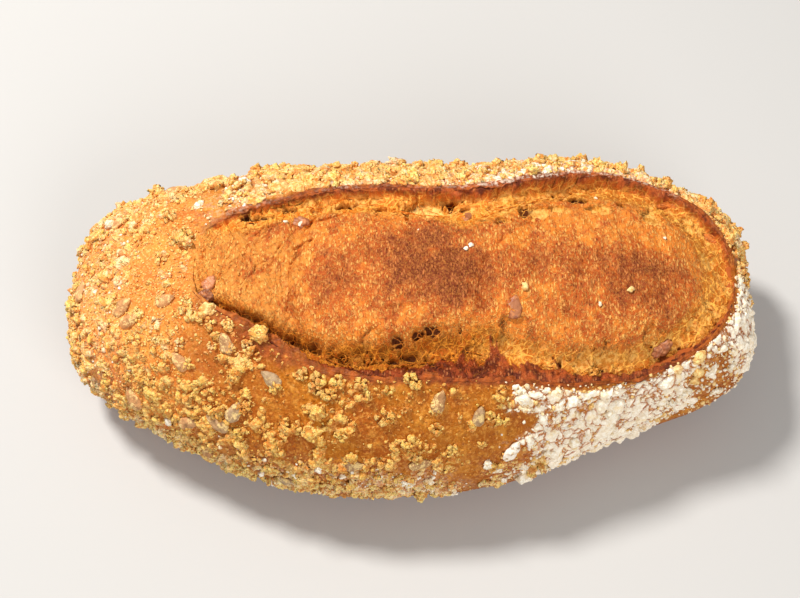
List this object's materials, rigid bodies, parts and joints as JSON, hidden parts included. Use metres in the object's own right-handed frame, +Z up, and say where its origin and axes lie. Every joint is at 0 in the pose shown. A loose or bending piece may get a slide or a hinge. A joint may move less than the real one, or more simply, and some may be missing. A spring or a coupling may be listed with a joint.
{
  "type": "walnut bread loaf",
  "caption": "Oval crusty loaf on a flat base, burst open along one long slash, with baked-on meal, sunflower kernels, flour and pieces of nut.",
  "frame": {"origin": "on the flat underside, below the middle of the loaf's bounding box", "axes": "+X runs along the loaf towards the end where the slash runs right up to the edge, +Y points to the side where the slash's raised lip is thickest, +Z is up"},
  "size_m": [0.267, 0.1328, 0.0848],
  "materials": {
    "baked_crust": "golden brown baked crust, satin where bare and matt where floured, with drier torn crumb in the slash"
  },
  "bodies": {
    "root": {"loaf": "baked_crust"}
  },
  "joints": []
}
